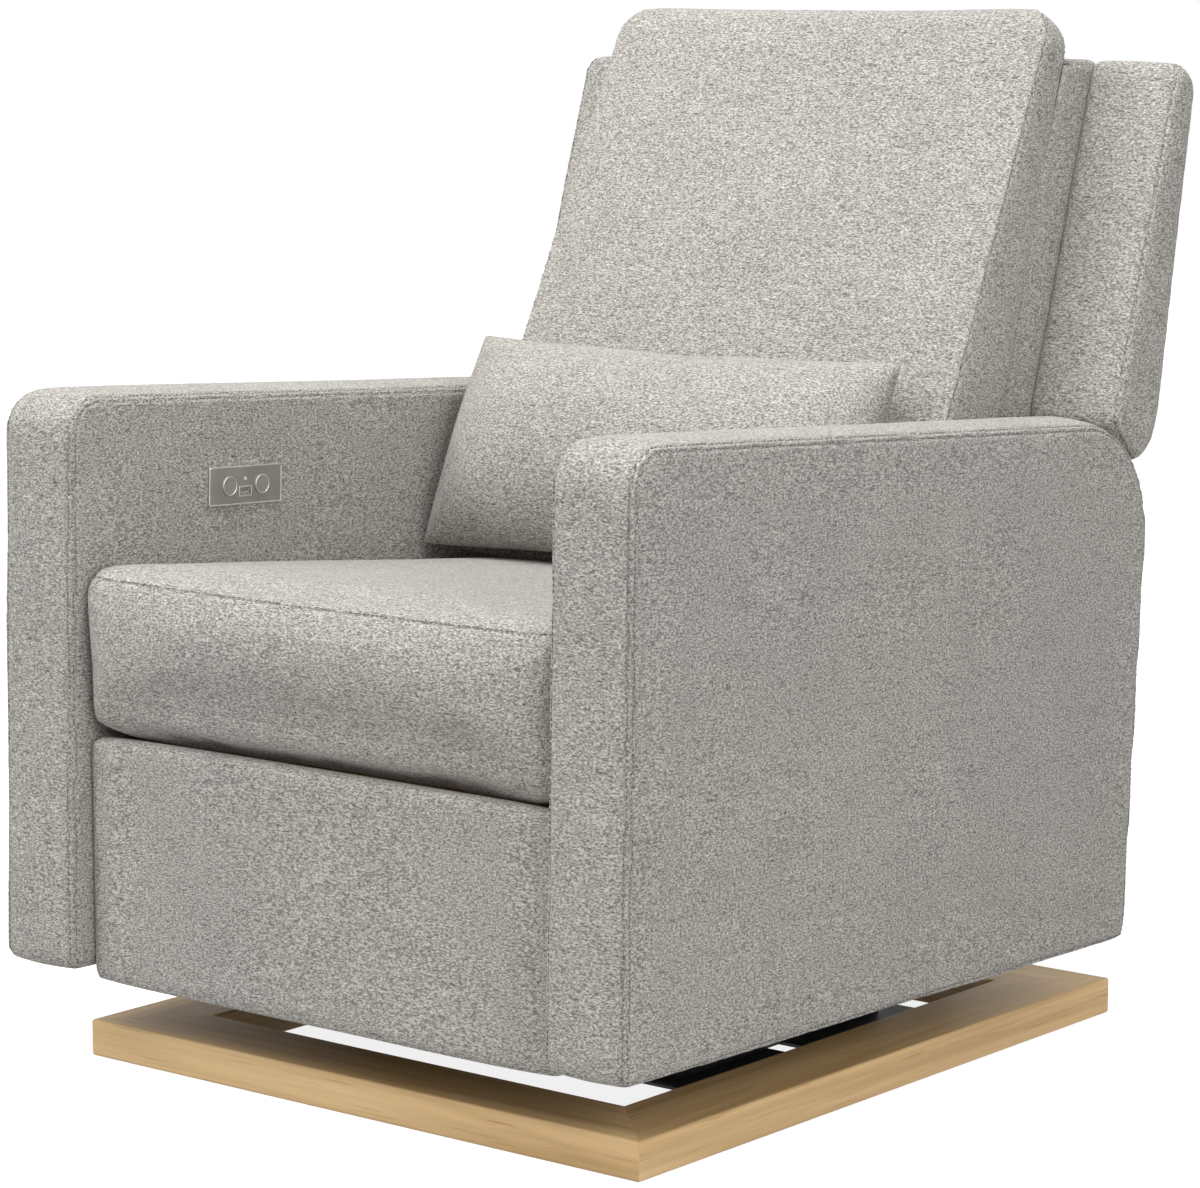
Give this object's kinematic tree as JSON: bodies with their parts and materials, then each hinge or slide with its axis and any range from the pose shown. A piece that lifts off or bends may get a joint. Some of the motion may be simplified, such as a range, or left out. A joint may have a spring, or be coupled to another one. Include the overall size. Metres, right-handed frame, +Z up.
{
  "type": "glider nursery chair",
  "caption": "Upholstered power recliner chair that glides on hanging links over a wooden ring base, with a fold-out footrest and a loose lumbar pillow.",
  "frame": {"origin": "on the floor under the middle of the chair's width and depth", "axes": "+Z up, +Y from the seat towards the back, +X to the right as seen from the front"},
  "size_m": [0.76, 0.9058, 1.008],
  "materials": {
    "base_wood": "satin lacquer",
    "frame_timber": "raw",
    "upholstery": "heathered weave",
    "black_steel": "satin black powder coat",
    "zinc_steel": "zinc plated",
    "fastener_steel": "zinc plated",
    "spring_steel": "oiled",
    "nylon": "natural nylon",
    "black_plastic": "moulded",
    "control_metal": "satin",
    "button_metal": "satin",
    "socket_metal": "bright"
  },
  "bodies": {
    "base": {"base_rail_front": "base_wood", "base_rail_rear": "base_wood", "base_rail_left": "base_wood", "base_rail_right": "base_wood", "base_cross_plate_front": "black_steel", "base_cross_plate_rear": "black_steel", "base_screws": "fastener_steel", "glide_hanger_left": "black_steel", "glide_hanger_right": "black_steel", "glide_pins_upper": "fastener_steel"},
    "front_links": {"glide_links_front": "zinc_steel", "glide_bushes_front": "nylon"},
    "rear_links": {"glide_links_rear": "zinc_steel", "glide_bushes_rear": "nylon"},
    "chassis": {"glide_rail_left": "black_steel", "glide_rail_right": "black_steel", "glide_pins_lower": "fastener_steel", "chassis_tubes": "black_steel", "mechanism_plate_left": "black_steel", "mechanism_plate_right": "black_steel", "seat_side_rails": "frame_timber", "seat_cross_rails": "frame_timber", "seat_springs": "spring_steel", "seat_cushion": "upholstery", "arm_cover_left": "upholstery", "arm_cover_right": "upholstery", "arm_core_left": "frame_timber", "arm_core_right": "frame_timber", "control_plate": "control_metal", "control_housing": "black_plastic", "charging_socket": "socket_metal", "rear_lower_panel": "upholstery", "drive_motor": "black_plastic", "drive_track": "black_steel", "power_inlet": "black_plastic", "recline_bolts": "fastener_steel", "footrest_pins_plate": "fastener_steel"},
    "back": {"back_bracket_left": "black_steel", "back_bracket_right": "black_steel", "back_posts": "frame_timber", "back_cross_rails": "frame_timber", "back_wing_left": "upholstery", "back_wing_right": "upholstery", "outer_back_panel": "upholstery", "back_cushion": "upholstery"},
    "footrest_link_a": {"footrest_links_a": "zinc_steel", "footrest_pins_link_a": "fastener_steel"},
    "footrest_link_b": {"footrest_links_b": "zinc_steel", "footrest_pins_link_b": "fastener_steel"},
    "footrest_link_c": {"footrest_links_c": "zinc_steel"},
    "footrest_link_d": {"footrest_links_d": "zinc_steel"},
    "footrest": {"footrest_pad": "upholstery", "footrest_board": "frame_timber", "footrest_brackets": "black_steel", "footrest_pins_panel": "fastener_steel"},
    "drive_slide": {"drive_slide": "nylon"},
    "button_recline": {"button_recline": "button_metal"},
    "button_upright": {"button_upright": "button_metal"},
    "lumbar_pillow": {"lumbar_pillow": "upholstery"}
  },
  "joints": [
    {"name": "glide", "type": "hinge", "parent": "base", "child": "front_links", "pos_m": [0, -0.108, 0.218], "axis": [1, 0, 0], "range_deg": [-18, 18]},
    {"name": "chassis_level", "type": "hinge", "parent": "front_links", "child": "chassis", "pos_m": [0, -0.108, 0.078], "axis": [1, 0, 0], "range_deg": [-18.5, 18.5]},
    {"name": "rear_link_swing", "type": "hinge", "parent": "base", "child": "rear_links", "pos_m": [0, 0.162, 0.218], "axis": [1, 0, 0], "range_deg": [-18.5, 18.5]},
    {"name": "back_recline", "type": "hinge", "parent": "chassis", "child": "back", "pos_m": [0, 0.227, 0.33], "axis": [-1, 0, 0], "range_deg": [0, 35]},
    {"name": "footrest_a_swing", "type": "hinge", "parent": "chassis", "child": "footrest_link_a", "pos_m": [0, -0.363, 0.2923], "axis": [-1, 0, 0], "range_deg": [0, 97.1]},
    {"name": "footrest_b_swing", "type": "hinge", "parent": "footrest_link_a", "child": "footrest_link_b", "pos_m": [0, -0.26035, 0.14068], "axis": [1, 0, 0], "range_deg": [0, 97.1]},
    {"name": "footrest_c_swing", "type": "hinge", "parent": "chassis", "child": "footrest_link_c", "pos_m": [0, -0.3206, 0.2776], "axis": [-1, 0, 0], "range_deg": [0, 97.1]},
    {"name": "footrest_d_swing", "type": "hinge", "parent": "footrest_link_a", "child": "footrest_link_d", "pos_m": [0, -0.2655, 0.0999], "axis": [1, 0, 0], "range_deg": [0, 97.1]},
    {"name": "footrest_tilt", "type": "hinge", "parent": "footrest_link_b", "child": "footrest", "pos_m": [0, -0.3669, 0.29229], "axis": [-1, 0, 0], "range_deg": [0, 88.8]},
    {"name": "drive_travel", "type": "slide", "parent": "chassis", "child": "drive_slide", "axis": [0, -1, 0], "range_m": [0, 0.201]},
    {"name": "recline_press", "type": "slide", "parent": "chassis", "child": "button_recline", "axis": [-1, 0, 0], "range_m": [0, 0.001], "stiffness_N_per_m": 600, "springref_m": -0.001},
    {"name": "upright_press", "type": "slide", "parent": "chassis", "child": "button_upright", "axis": [-1, 0, 0], "range_m": [0, 0.001], "stiffness_N_per_m": 600, "springref_m": -0.001},
    {"name": "pillow_lift", "type": "slide", "parent": "back", "child": "lumbar_pillow", "axis": [0, 0.4361, 0.8999], "range_m": [0, 0.3]}
  ],
  "couplings": [
    {"joint": "chassis_level", "follows": "glide", "ratio": -1},
    {"joint": "rear_link_swing", "follows": "glide", "ratio": 1},
    {"joint": "footrest_a_swing", "follows": "back_recline", "ratio": 2.76},
    {"joint": "footrest_b_swing", "follows": "back_recline", "ratio": 2.76},
    {"joint": "footrest_c_swing", "follows": "back_recline", "ratio": 2.76},
    {"joint": "footrest_d_swing", "follows": "back_recline", "ratio": 2.76},
    {"joint": "footrest_tilt", "follows": "back_recline", "ratio": 2.5229},
    {"joint": "drive_travel", "follows": "back_recline", "m_per_rad": 0.3274}
  ]
}
